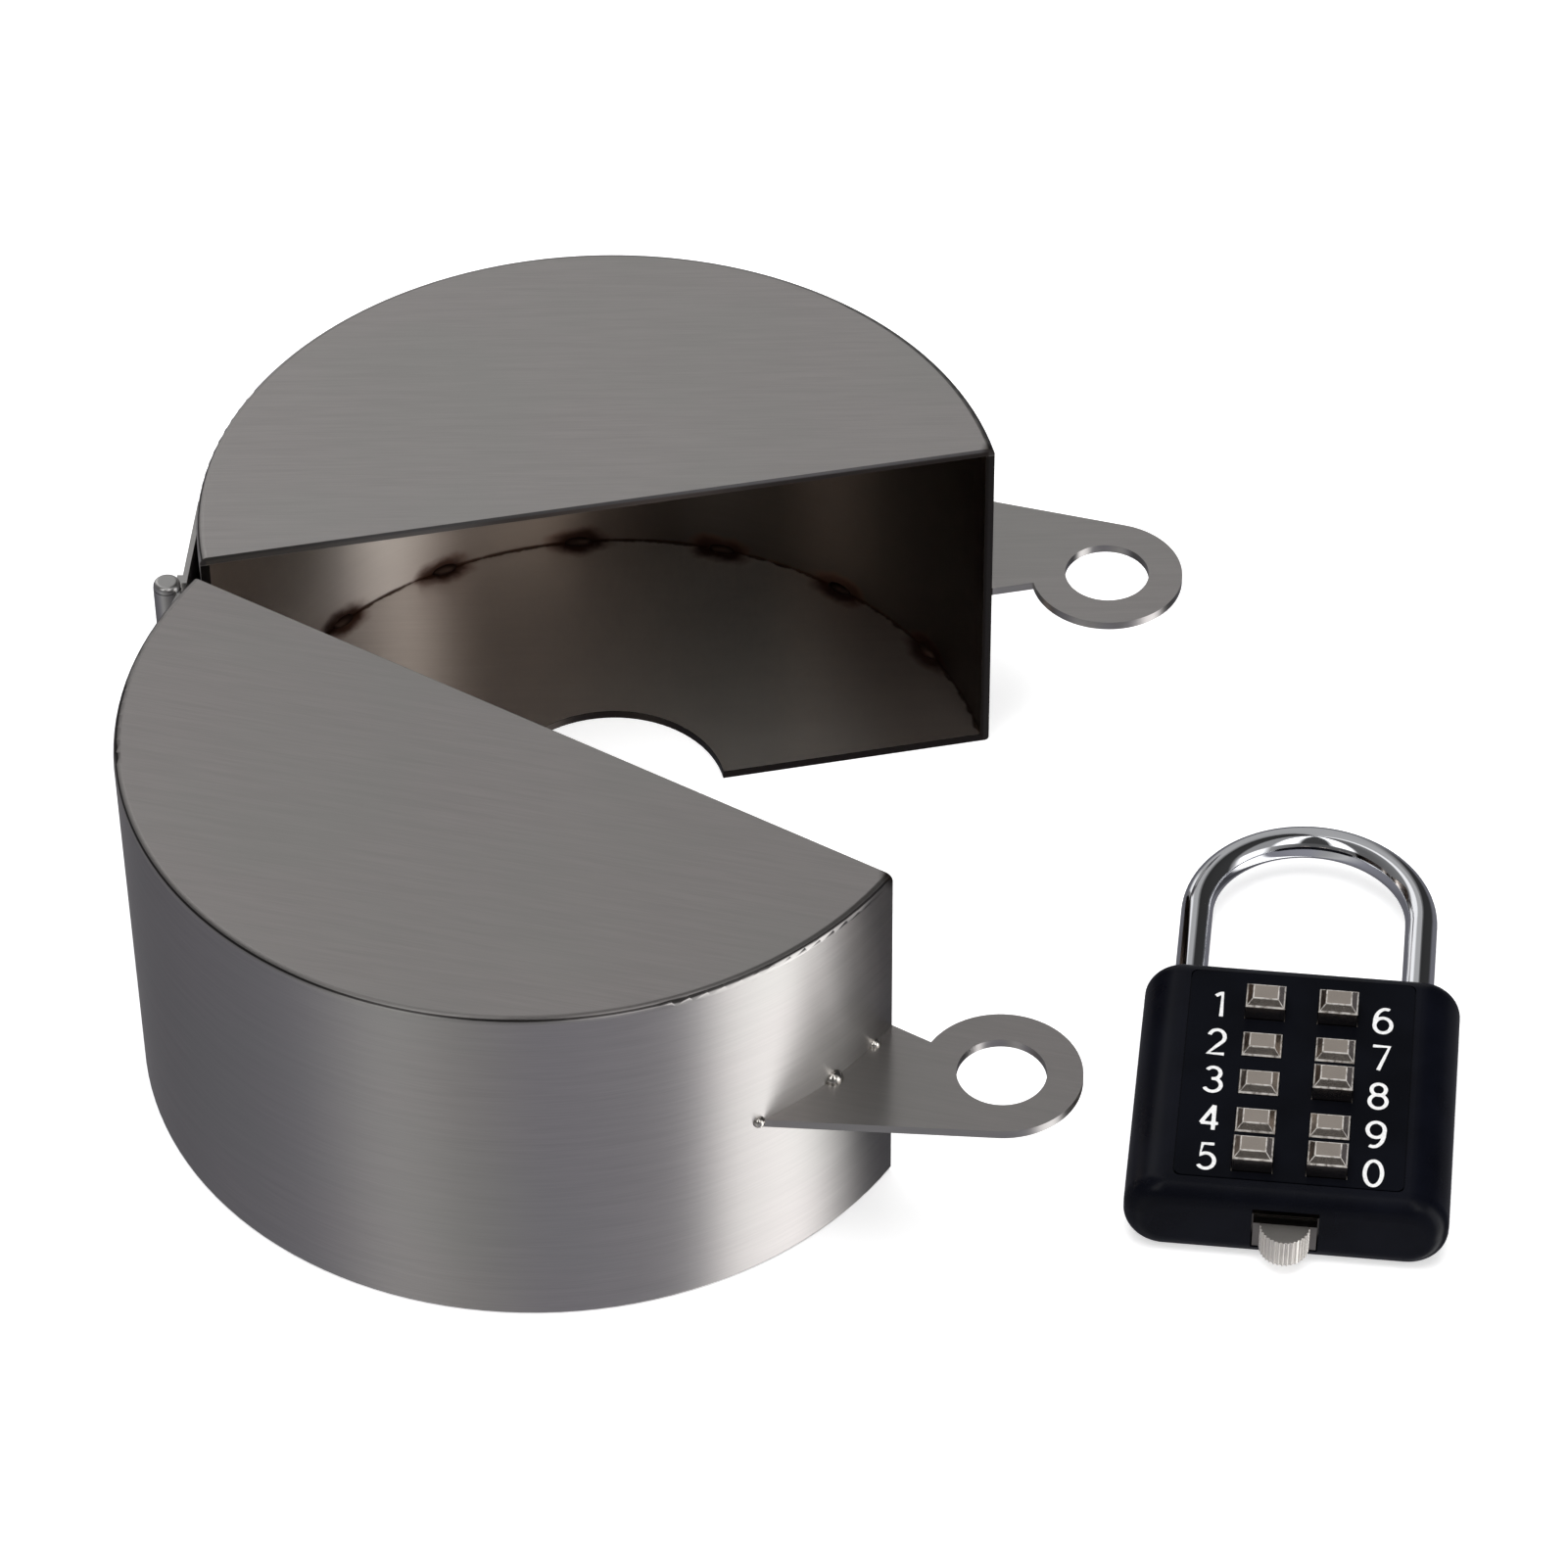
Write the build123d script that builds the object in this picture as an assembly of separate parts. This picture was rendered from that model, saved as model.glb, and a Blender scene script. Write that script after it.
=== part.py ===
from build123d import *
import math
import os

# A drum-shaped lock-out cover in two hinged halves, with a push-button padlock lying beside it.
# Millimetres. +Z is up and the floor is z = 0. The origin is the centre of the stem opening, on the
# underside of the rear half. The halves part at y = 0 and hinge on the -X side.

# ---- cover: driving dimensions ----
DRUM_RADIUS = 52.5
DRUM_HEIGHT = 52.0
SHEET = 1.2
RIM_ROUND = 1.0
FOOT_ROUND = 0.6
STEM_RADIUS = 15.5
HALF_GAP = 0.1            # each half stops this far short of the parting plane
HINGE_X = -57.0
OPEN_ANGLE = 43.7         # how far the front half stands open at rest

# ---- hinge ----
BARREL_RADIUS = 1.8
PIN_RADIUS = 1.0
PIN_PLAY = 0.05
PIN_HEAD_RADIUS = 1.75
PIN_HEAD_HEIGHT = 0.9
HINGE_BOTTOM = 5.0
HINGE_TOP = 48.2
KNUCKLES = 5
KNUCKLE_GAP = 0.16
LEAF = 0.7
LEAF_LEAN = 15.5          # degrees between the leaf and the Y axis, so that it lies tangent to the drum
LEAF_END = 17.0           # measured along the leaf from the pin
LEAF_START = 0.8
WEB_END = 2.4
LEAF_SWEEP = 2.05         # clear radius about the axis, outside a leaf's own knuckles

# ---- padlock lugs ----
LUG = 1.2
LUG_RING_X = 68.3
LUG_RING_RADIUS = 10.1
LUG_HOLE_RADIUS = 5.6
LUG_TAIL_ANGLE = 25.2     # where the straight edge runs out on the drum
REAR_LUG_TOP = 27.5
FRONT_LUG_TOP = 26.1

# ---- welds: angles round the drum from +X, with each bead's radius ----
LUG_BEADS = ((4.5, 0.9), (13.0, 1.3), (25.8, 0.8))
TACK_ANGLES = (20.6, 40.7, 61.7, 84.7, 106.7, 126.4)
TACK_RADIUS = 1.1
TACK_SHAPE = (0.8, 1.7, 0.8)   # out from the axis, along the seam, and up

# ---- padlock: its own frame is x across, y from the slider end to the shackle, z up ----
LOCK_PLACE = (66.7, -101.45)
LOCK_TURN = -18.35
CASE_WIDTH = 40.7
CASE_LENGTH = 41.5
CASE_THICK = 11.4
SIDE_ROUND = 5.2
END_ROUND = 2.8

CHAMBER_HALF = 11.5
CHAMBER_START = 1.5
CHAMBER_END = 39.8
CHAMBER_ROOF = 9.4
BACK_THICK = 1.2
BACK_WIDTH = 30.0
BACK_START = 2.2
BACK_END = 39.9
BACK_PLAY = 0.1
SCREW_X = 12.9
SCREW_ROWS = (6.0, 35.6)
SCREW_RADIUS = 0.8
SCREW_HEAD_RADIUS = 1.5
SCREW_LENGTH = 2.8

FACE_WIDTH = 28.6
FACE_START = 2.8
FACE_END = 39.0
FACE_THICK = 0.45
FACE_RECESS = 0.4
FACE_GROOVE = 0.15

SHACKLE_HALF = 14.7
SHACKLE_RADIUS = 2.1
SHACKLE_BEND_Y = 56.0
SHACKLE_Z = 5.4
SHACKLE_PLAY = 0.15
HEEL_END = 9.0
TOE_END = 33.5
SHACKLE_LIFT = 10.0
RETAINER_Y = 24.0
RETAINER_X = -13.1
RETAINER_RADIUS = 0.6

COLUMN_X = 4.65
ROW_MIDDLE = 19.6
ROW_PITCH = 6.7
BUTTON_TRAVEL = 2.0
RAISED_TOP = 14.4
CAP_X = 5.0
CAP_Y = 4.2
CAP_BEVEL = 0.9
CAP_HOLE_PLAY = 0.1
FLANGE_X = 6.2
FLANGE_Y = 5.4
FLANGE_THICK = 0.9
STEM_SIDE = 3.4
STEM_DEPTH = 5.85         # flange top to the end of the stem
SPRING_BORE = 1.2
SPRING_RADIUS = 0.9       # to the middle of the wire
SPRING_WIRE = 0.15
SPRING_TURNS = 6
LEFT_DIGITS = "12345"
RIGHT_DIGITS = "67890"
PRESSED_DIGITS = "23479"

PLATE_LOW = 4.3           # code slide
PLATE_THICK = 0.8
PLATE_HALF = 7.5
PLATE_START = 7.6
PLATE_END = 39.2
SLIDE_TRAVEL = 1.5

LATCH_LOW = 5.2
LATCH_THICK = 1.1
LATCH_START = 35.05
LATCH_END = 39.55
BOLT_TIP = 12.3
BOLT_Y = (36.3, 38.5)
DRIVE_PIN_Y = 37.9
DRIVE_PIN_RADIUS = 0.8

KNOB_RADIUS = 3.0
KNOB_LOW = 2.3
KNOB_TALL = 4.1
KNOB_TRAVEL = 2.4
KNOB_PLAY = 0.2
KNOB_RIBS = 17
RIB_RADIUS = 0.16
WINDOW_HALF = 4.2
CROSS_PIN_Y = 5.0
CROSS_PIN_Z = 2.6
CROSS_PIN_RADIUS = 0.6
SLOT_PLAY = 0.15


def block(x0, x1, y0, y1, z0, z1):
    """A box between two corners."""
    return Pos((x0 + x1) / 2, (y0 + y1) / 2, (z0 + z1) / 2) * Box(x1 - x0, y1 - y0, z1 - z0)


def rod(x, y, z0, z1, radius):
    """An upright round bar."""
    return Pos(x, y, (z0 + z1) / 2) * Cylinder(radius, z1 - z0)


# ---- cover ----

def rear_side():
    """Everything behind the rear half's cut plane."""
    reach = 2 * DRUM_RADIUS
    return block(-reach, reach, HALF_GAP, reach, -1, DRUM_HEIGHT + 1)


def top_plate():
    disc = rod(0, 0, DRUM_HEIGHT - SHEET, DRUM_HEIGHT, DRUM_RADIUS)
    rim = disc.edges().group_by(Axis.Z)[-1]
    return fillet(rim, RIM_ROUND) & rear_side()


def wall():
    outer = rod(0, 0, 0, DRUM_HEIGHT - SHEET, DRUM_RADIUS)
    outer = fillet(outer.edges().group_by(Axis.Z)[0], FOOT_ROUND)
    inner = rod(0, 0, -1, DRUM_HEIGHT, DRUM_RADIUS - SHEET)
    return (outer - inner) & rear_side()


def bottom_plate():
    disc = rod(0, 0, 0, SHEET, DRUM_RADIUS - SHEET)
    stem = rod(0, 0, -1, SHEET + 1, STEM_RADIUS)
    return (disc - stem) & rear_side()


def lug(top):
    """A teardrop plate: an eye on the parting plane, and a straight edge that runs out on the drum."""
    tail_angle = math.radians(LUG_TAIL_ANGLE)
    tail_x = DRUM_RADIUS * math.cos(tail_angle)
    tail_y = DRUM_RADIUS * math.sin(tail_angle)
    apart = math.hypot(LUG_RING_X - tail_x, tail_y)
    lean = math.atan2(-tail_y, LUG_RING_X - tail_x) + math.asin(LUG_RING_RADIUS / apart)
    run = math.sqrt(apart ** 2 - LUG_RING_RADIUS ** 2)
    touch = (tail_x + run * math.cos(lean), tail_y + run * math.sin(lean))
    inner = DRUM_RADIUS - SHEET
    web = Polyline((inner, HALF_GAP), (LUG_RING_X, HALF_GAP), touch, (tail_x, tail_y),
                   (tail_x - SHEET, tail_y - SHEET / 2), close=True)
    eye = Pos(LUG_RING_X, 0) * Circle(LUG_RING_RADIUS)
    hole = Pos(LUG_RING_X, 0) * Circle(LUG_HOLE_RADIUS)
    outline = make_face(web) + eye - hole - Circle(DRUM_RADIUS)
    return Pos(0, 0, top - LUG) * extrude(outline, LUG)


def lug_welds(top, lug_part):
    """Beads on the seam between the lug's upper face and the drum."""
    drum = rod(0, 0, 0, DRUM_HEIGHT, DRUM_RADIUS)
    reach = 2 * DRUM_RADIUS
    above = block(-reach, reach, -reach, reach, top - LUG / 2, DRUM_HEIGHT)
    beads = []
    for angle, radius in LUG_BEADS:
        turn = math.radians(angle)
        place = Pos(DRUM_RADIUS * math.cos(turn), DRUM_RADIUS * math.sin(turn), top)
        beads += ((place * Sphere(radius) & above) - drum - lug_part).solids()
    return Compound(children=beads)


def tack_welds(wall_part, plate_part):
    """Beads in the corner between the wall and the bottom plate."""
    inner = DRUM_RADIUS - SHEET
    beads = []
    for angle in TACK_ANGLES:
        place = Rot(0, 0, angle) * Pos(inner, 0, SHEET)
        bead = place * scale(Sphere(TACK_RADIUS), by=TACK_SHAPE)
        beads += (bead - wall_part - plate_part).solids()
    return Compound(children=beads)


def knuckle_span(index):
    pitch = (HINGE_TOP - HINGE_BOTTOM) / KNUCKLES
    low = HINGE_BOTTOM + index * pitch
    return low + KNUCKLE_GAP / 2, low + pitch - KNUCKLE_GAP / 2


def hinge_leaf(knuckles):
    """A leaf tangent to the drum, joined to its own knuckles round the pin."""
    turned = Pos(HINGE_X, 0, 0) * Rot(0, 0, -LEAF_LEAN)
    inner_face = -HINGE_X * math.cos(math.radians(LEAF_LEAN)) - DRUM_RADIUS
    outer_face = inner_face - LEAF
    leaf = turned * block(outer_face, inner_face, LEAF_START, LEAF_END, HINGE_BOTTOM, HINGE_TOP)
    leaf -= rod(HINGE_X, 0, 0, DRUM_HEIGHT, LEAF_SWEEP)
    for index in knuckles:
        low, high = knuckle_span(index)
        leaf += turned * block(PIN_RADIUS, inner_face, LEAF_START, WEB_END, low, high)
        leaf += rod(HINGE_X, 0, low, high, BARREL_RADIUS)
    leaf -= rod(HINGE_X, 0, 0, DRUM_HEIGHT, PIN_RADIUS + PIN_PLAY)
    return leaf - rod(0, 0, 0, DRUM_HEIGHT, DRUM_RADIUS)


def hinge_pin():
    """A round pin with a domed head above the barrel and a riveted end below it."""
    pin = rod(HINGE_X, 0, HINGE_BOTTOM - 0.6, HINGE_TOP + 0.1, PIN_RADIUS)
    head = rod(HINGE_X, 0, HINGE_TOP, HINGE_TOP + PIN_HEAD_HEIGHT, PIN_HEAD_RADIUS)
    head = fillet(head.edges().group_by(Axis.Z)[-1], PIN_HEAD_HEIGHT * 0.75)
    rivet = rod(HINGE_X, 0, HINGE_BOTTOM - 0.6, HINGE_BOTTOM, 1.5)
    return pin + head + rivet


def opened(part):
    """The front half's place: a rear-side part mirrored, then swung open about the hinge."""
    front = mirror(part, Plane.XZ)
    return Pos(HINGE_X, 0, 0) * Rot(0, 0, -OPEN_ANGLE) * Pos(-HINGE_X, 0, 0) * front


def cover_parts():
    parts = {}
    for half, lug_top, knuckles in (("rear", REAR_LUG_TOP, (0, 2, 4)), ("front", FRONT_LUG_TOP, (1, 3))):
        half_wall = wall()
        half_bottom = bottom_plate()
        half_lug = lug(lug_top)
        half_parts = {
            "top_plate": top_plate(),
            "wall": half_wall,
            "bottom_plate": half_bottom,
            "lug": half_lug,
            "lug_welds": lug_welds(lug_top, half_lug),
            "tack_welds": tack_welds(half_wall, half_bottom),
            "hinge_leaf": hinge_leaf(knuckles),
        }
        for name, part in half_parts.items():
            parts[f"{half}_{name}"] = opened(part) if half == "front" else part
    parts["hinge_pin"] = hinge_pin()
    return parts


# ---- padlock, in its own frame ----

def button_layout():
    """Each digit with its column, row and how far it is pressed in."""
    layout = []
    for digits, side in ((LEFT_DIGITS, -1), (RIGHT_DIGITS, 1)):
        for row, digit in enumerate(digits):
            y = ROW_MIDDLE + (2 - row) * ROW_PITCH
            sunk = BUTTON_TRAVEL if digit in PRESSED_DIGITS else 0
            layout.append((digit, side * COLUMN_X, y, sunk))
    return layout


def lying_slab(width, height, rounding, length):
    """A rounded section in x and z, run along y from 0."""
    section = Plane.XZ * RectangleRounded(width, height, rounding)
    return Pos(0, 0, height / 2) * extrude(section, -length)


def case_outside():
    """A flattened oval bar, rounded over all the way round both ends."""
    bar = lying_slab(CASE_WIDTH, CASE_THICK, SIDE_ROUND, CASE_LENGTH)
    by_length = bar.edges().group_by(Axis.Y)
    return fillet(by_length[0] + by_length[-1], END_ROUND)


def channel(x, end):
    """A shackle hole, open at the shackle end."""
    length = CASE_LENGTH + 1 - end
    bar = Cylinder(SHACKLE_RADIUS + SHACKLE_PLAY, length, rotation=(90, 0, 0))
    return Pos(x, end + length / 2, SHACKLE_Z) * bar


def back_outline(play):
    plan = RectangleRounded(BACK_WIDTH + 2 * play, BACK_END - BACK_START + 2 * play, 2)
    return Pos(0, (BACK_START + BACK_END) / 2) * plan


def face_outline(play):
    plan = RectangleRounded(FACE_WIDTH + 2 * play, FACE_END - FACE_START + 2 * play, 1)
    return Pos(0, (FACE_START + FACE_END) / 2) * plan


def button_holes(low, high):
    half_x = CAP_X / 2 + CAP_HOLE_PLAY
    half_y = CAP_Y / 2 + CAP_HOLE_PLAY
    holes = [block(x - half_x, x + half_x, y - half_y, y + half_y, low, high)
             for _, x, y, _ in button_layout()]
    return Compound(children=holes)


def lock_case():
    case = case_outside()
    case -= block(-CHAMBER_HALF, CHAMBER_HALF, BACK_START, CHAMBER_END, -1, CHAMBER_ROOF)
    case -= block(-CHAMBER_HALF, CHAMBER_HALF, CHAMBER_START, BACK_START + 1, BACK_THICK, CHAMBER_ROOF)
    case -= extrude(back_outline(BACK_PLAY), BACK_THICK)
    case -= block(-WINDOW_HALF, WINDOW_HALF, -1, CHAMBER_START + 1, KNOB_LOW - KNOB_PLAY,
                  KNOB_LOW + KNOB_TALL + KNOB_TRAVEL + KNOB_PLAY)
    case -= channel(-SHACKLE_HALF, HEEL_END - 0.4)
    case -= channel(SHACKLE_HALF, TOE_END - 0.4)
    case -= block(CHAMBER_HALF - 1, SHACKLE_HALF, BOLT_Y[0] - 0.2, BOLT_Y[1] + 0.2,
                  LATCH_LOW - 0.2, LATCH_LOW + LATCH_THICK + 0.2)
    case -= Pos(0, 0, CASE_THICK - FACE_RECESS) * extrude(face_outline(FACE_GROOVE), 1)
    case -= rod(RETAINER_X, RETAINER_Y, BACK_THICK, CHAMBER_ROOF, RETAINER_RADIUS)
    for x in (-SCREW_X, SCREW_X):
        for y in SCREW_ROWS:
            case -= rod(x, y, 0, SCREW_LENGTH + 0.05, SCREW_RADIUS)
    return case - button_holes(CHAMBER_ROOF - 1, CASE_THICK + 1)


def screw(x, y, play):
    """A countersunk screw, its head flush in the back cover."""
    sink = SCREW_HEAD_RADIUS - SCREW_RADIUS
    head = Cone(SCREW_HEAD_RADIUS + play, SCREW_RADIUS + play, sink)
    shank = rod(x, y, 0.05, SCREW_LENGTH, SCREW_RADIUS + play)
    return Pos(x, y, 0.05 + sink / 2) * head + shank


def back_cover():
    cover = extrude(back_outline(0), BACK_THICK)
    for x in (-SCREW_X, SCREW_X):
        for y in SCREW_ROWS:
            cover -= screw(x, y, 0.03)
            cover -= rod(x, y, -1, 0.1, SCREW_HEAD_RADIUS + 0.03)
    return cover


def back_cover_screws():
    screws = []
    for x in (-SCREW_X, SCREW_X):
        for y in SCREW_ROWS:
            slot = block(x - 1.1, x + 1.1, y - 0.2, y + 0.2, -1, 0.4)
            cross = block(x - 0.2, x + 0.2, y - 1.1, y + 1.1, -1, 0.4)
            screws += (screw(x, y, 0) - slot - cross).solids()
    return Compound(children=screws)


def face_plate():
    plate = extrude(face_outline(0), FACE_THICK)
    return Pos(0, 0, CASE_THICK - FACE_RECESS) * plate - button_holes(CASE_THICK - 1, CASE_THICK + 1)


def retaining_pin():
    return rod(RETAINER_X, RETAINER_Y, BACK_THICK, CHAMBER_ROOF, RETAINER_RADIUS)


def detent_strips():
    """Thin springs beside each column, which hold a button at either height."""
    strips = []
    for side in (-1, 1):
        middle = side * (COLUMN_X + FLANGE_X / 2 + 0.35)
        strips.append(block(middle - 0.12, middle + 0.12, 3, 35, PLATE_LOW + PLATE_THICK + 0.2, CHAMBER_ROOF))
        foot = middle + side * 0.9
        strips[-1] += block(min(middle, foot), max(middle, foot), 3, 35, CHAMBER_ROOF - 0.24, CHAMBER_ROOF)
    return Compound(children=strips)


def shackle():
    """A bent bar with a long heel leg, relieved for its retaining pin, and a short notched toe."""
    bend = CenterArc((0, SHACKLE_BEND_Y), SHACKLE_HALF, 0, 180)
    toe = Line((SHACKLE_HALF, TOE_END), (SHACKLE_HALF, SHACKLE_BEND_Y))
    heel = Line((-SHACKLE_HALF, SHACKLE_BEND_Y), (-SHACKLE_HALF, HEEL_END))
    section = Plane(origin=(SHACKLE_HALF, TOE_END, 0), z_dir=(0, 1, 0)) * Circle(SHACKLE_RADIUS)
    bar = Pos(0, 0, SHACKLE_Z) * sweep(section, path=Wire([toe, bend, heel]))
    bar = chamfer(bar.edges().filter_by(GeomType.CIRCLE).group_by(Axis.Y)[0], 0.5)
    relief_low = RETAINER_Y - SHACKLE_LIFT - RETAINER_RADIUS - 0.3
    relief_high = RETAINER_Y + RETAINER_RADIUS + 0.3
    bar -= block(RETAINER_X - RETAINER_RADIUS - 0.2, -SHACKLE_HALF / 2, relief_low, relief_high, 0, CASE_THICK)
    notch = block(0, BOLT_TIP + SLIDE_TRAVEL + 0.2, BOLT_Y[0] - 0.3, BOLT_Y[1] + 0.3, 0, CASE_THICK)
    return bar - notch


def button(x, y, sunk):
    """A bevelled cap, a flange that keeps it in, and a hollow stem for its spring."""
    flange_top = CHAMBER_ROOF - 0.05
    cap_top = RAISED_TOP
    cap_low = cap_top - CAP_BEVEL
    body = block(-CAP_X / 2, CAP_X / 2, -CAP_Y / 2, CAP_Y / 2, flange_top - FLANGE_THICK, cap_low)
    bevel = extrude(Pos(0, 0, cap_low) * Rectangle(CAP_X, CAP_Y), CAP_BEVEL, taper=45)
    flange = block(-FLANGE_X / 2, FLANGE_X / 2, -FLANGE_Y / 2, FLANGE_Y / 2, flange_top - FLANGE_THICK, flange_top)
    stem_end = flange_top - STEM_DEPTH
    stem = block(-STEM_SIDE / 2, STEM_SIDE / 2, -STEM_SIDE / 2, STEM_SIDE / 2, stem_end, flange_top)
    bore = rod(0, 0, stem_end - 1, spring_roof(), SPRING_BORE)
    return Pos(x, y, -sunk) * (body + bevel + flange + stem - bore)


def spring_roof():
    """The top of the spring's bore in a raised button."""
    return CHAMBER_ROOF - FLANGE_THICK


def button_spring(x, y, sunk):
    """A coil from the back cover up into the button's stem."""
    low = BACK_THICK + SPRING_WIRE + 0.02
    high = spring_roof() - sunk - SPRING_WIRE - 0.02
    path = Helix((high - low) / SPRING_TURNS, high - low, SPRING_RADIUS)
    section = Plane(origin=path @ 0, z_dir=path % 0) * Circle(SPRING_WIRE)
    return Pos(x, y, low) * sweep(section, path=path, is_frenet=True)


def code_slide():
    """A thin plate with a slot round each stem, a pin for the latch and an ear for the slider."""
    low, high = PLATE_LOW, PLATE_LOW + PLATE_THICK
    slide = block(-PLATE_HALF, PLATE_HALF, PLATE_START, PLATE_END - 4.6, low, high)
    slide += block(-2.4, 2.4, PLATE_END - 5, PLATE_END, low, high)
    half = STEM_SIDE / 2 + 0.2
    for _, x, y, _ in button_layout():
        slide -= block(x - half, x + half, y - half, y + half + SLIDE_TRAVEL, low - 1, high + 1)
    slide += rod(0, DRIVE_PIN_Y, low, LATCH_LOW + LATCH_THICK, DRIVE_PIN_RADIUS)
    return slide + slider_ear()


def slider_ear():
    """An upright ear whose slanted slot turns the slider's rise into the code slide's travel."""
    half_slot = CROSS_PIN_RADIUS + SLOT_PLAY
    margin = half_slot + 0.6
    start = (CROSS_PIN_Y, CROSS_PIN_Z)
    end = (CROSS_PIN_Y + SLIDE_TRAVEL, CROSS_PIN_Z + KNOB_TRAVEL)
    ear = block(-0.35, 0.35, start[0] - margin, end[0] + margin + 1.5, start[1] - 1.1, end[1] + margin)
    run = Line((0, *start), (0, *end))
    length = run.length + 2 * half_slot
    angle = math.degrees(math.atan2(KNOB_TRAVEL, SLIDE_TRAVEL))
    middle = ((start[0] + end[0]) / 2, (start[1] + end[1]) / 2)
    slot = extrude(Plane.YZ * Rot(0, 0, angle) * SlotOverall(length, 2 * half_slot), 2, both=True)
    return ear - Pos(0, *middle) * slot


def latch():
    """A bar with a slanted slot for the code slide's pin, and a bolt that enters the toe's notch."""
    low, high = LATCH_LOW, LATCH_LOW + LATCH_THICK
    bar = block(-7, CHAMBER_HALF - SLIDE_TRAVEL - 0.2, LATCH_START, LATCH_END, low, high)
    bar += block(5, BOLT_TIP, BOLT_Y[0], BOLT_Y[1], low, high)
    width = 2 * (DRIVE_PIN_RADIUS + SLOT_PLAY)
    slot = Rot(0, 0, 45) * SlotOverall(SLIDE_TRAVEL * math.sqrt(2) + width, width)
    middle = (-SLIDE_TRAVEL / 2, DRIVE_PIN_Y - SLIDE_TRAVEL / 2)
    return bar - Pos(middle[0], middle[1], low - 1) * extrude(slot, LATCH_THICK + 2)


def slider_knob():
    """A half-round thumb knob with ribs up its curved side."""
    disc = Pos(0, 0.2) * Circle(KNOB_RADIUS)
    for index in range(KNOB_RIBS):
        turn = math.pi * (index + 0.5) / KNOB_RIBS
        disc += Pos(KNOB_RADIUS * math.cos(turn), 0.2 - KNOB_RADIUS * math.sin(turn)) * Circle(RIB_RADIUS)
    disc &= Pos(0, -5 + 0.2) * Rectangle(10, 10)
    return Pos(0, 0, KNOB_LOW) * extrude(disc, KNOB_TALL)


def slider_plate():
    """The slider's plate in its window, the block behind it, and two arms that carry a cross pin."""
    plate = block(-4, 4, 0.2, CHAMBER_START, KNOB_LOW, KNOB_LOW + KNOB_TALL)
    plate += block(-4.8, 4.8, CHAMBER_START + 0.1, 2.5, 1.4, 6.6)
    plate += block(-3.9, 3.9, CHAMBER_START - 0.1, CHAMBER_START + 0.2, KNOB_LOW, 5.6)
    for side in (-1, 1):
        arm = block(0.6, 1.2, 2, CROSS_PIN_Y + 0.9, 1.4, 3.8)
        plate += arm if side > 0 else mirror(arm, Plane.YZ)
    plate -= block(-0.6, 0.6, CHAMBER_START + 0.3, 3, 1, 6)
    cross_pin = Pos(0, CROSS_PIN_Y, CROSS_PIN_Z) * Cylinder(CROSS_PIN_RADIUS, 2.4, rotation=(0, 90, 0))
    return plate + cross_pin


def lock_parts():
    parts = {
        "lock_case": lock_case(),
        "back_cover": back_cover(),
        "back_cover_screws": back_cover_screws(),
        "face_plate": face_plate(),
        "retaining_pin": retaining_pin(),
        "detent_strips": detent_strips(),
        "shackle": shackle(),
        "code_slide": code_slide(),
        "latch": latch(),
        "slider_knob": slider_knob(),
        "slider_plate": slider_plate(),
    }
    for digit, x, y, sunk in button_layout():
        parts[f"button_{digit}"] = button(x, y, sunk)
        parts[f"button_spring_{digit}"] = button_spring(x, y, sunk)
    place = Pos(*LOCK_PLACE, 0) * Rot(0, 0, LOCK_TURN)
    return {name: place * part for name, part in parts.items()}


os.makedirs("parts", exist_ok=True)
for node, shape in {**cover_parts(), **lock_parts()}.items():
    export_step(shape, f"parts/{node}.step")
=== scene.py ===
"""Looks for a hinged sheet-steel lock-out cover and the push-button padlock beside it."""

import math

import bpy
from mathutils import Matrix, Vector


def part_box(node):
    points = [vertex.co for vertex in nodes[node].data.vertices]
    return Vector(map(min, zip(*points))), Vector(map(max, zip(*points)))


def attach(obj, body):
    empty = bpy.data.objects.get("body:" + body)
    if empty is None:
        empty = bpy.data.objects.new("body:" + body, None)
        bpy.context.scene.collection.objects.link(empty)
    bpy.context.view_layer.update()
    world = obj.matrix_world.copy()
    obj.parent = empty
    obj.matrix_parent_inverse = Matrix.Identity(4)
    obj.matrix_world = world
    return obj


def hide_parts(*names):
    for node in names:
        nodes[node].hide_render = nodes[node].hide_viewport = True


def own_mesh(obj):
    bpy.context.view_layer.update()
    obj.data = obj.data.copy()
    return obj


MM = 0.001

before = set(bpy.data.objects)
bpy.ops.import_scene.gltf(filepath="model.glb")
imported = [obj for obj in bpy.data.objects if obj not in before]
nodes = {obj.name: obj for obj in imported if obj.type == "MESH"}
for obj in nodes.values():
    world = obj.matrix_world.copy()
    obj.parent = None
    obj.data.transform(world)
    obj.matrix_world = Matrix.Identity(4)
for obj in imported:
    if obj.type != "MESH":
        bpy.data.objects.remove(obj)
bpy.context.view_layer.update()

# The cover, in metres: the same driving sizes as the CAD source.
DRUM_RADIUS = 52.5 * MM
INNER_RADIUS = 51.3 * MM
SHEET = 1.2 * MM
WALL_TOP = 50.8 * MM
HINGE = (-57 * MM, 0, 0)
OPEN_ANGLE = math.radians(43.7)
STEM_RADIUS = 15.5 * MM
TACK_ANGLES = (20.6, 40.7, 61.7, 84.7, 106.7, 126.4)

# The padlock lies turned about the upright axis.
LOCK_TURN = math.radians(-18.35)
LOCK_PLACE = Vector((66.7 * MM, -101.45 * MM, 0))
COLUMN_X = 4.65 * MM
ROW_MIDDLE = 19.6 * MM
ROW_PITCH = 6.7 * MM
CAP_X = 5.0 * MM
CAP_Y = 4.2 * MM
CAP_BEVEL = 0.9 * MM
LOCK_ACROSS = Vector((math.cos(LOCK_TURN), math.sin(LOCK_TURN), 0))
LOCK_ALONG = Vector((-math.sin(LOCK_TURN), math.cos(LOCK_TURN), 0))


# ---- materials ----

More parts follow.
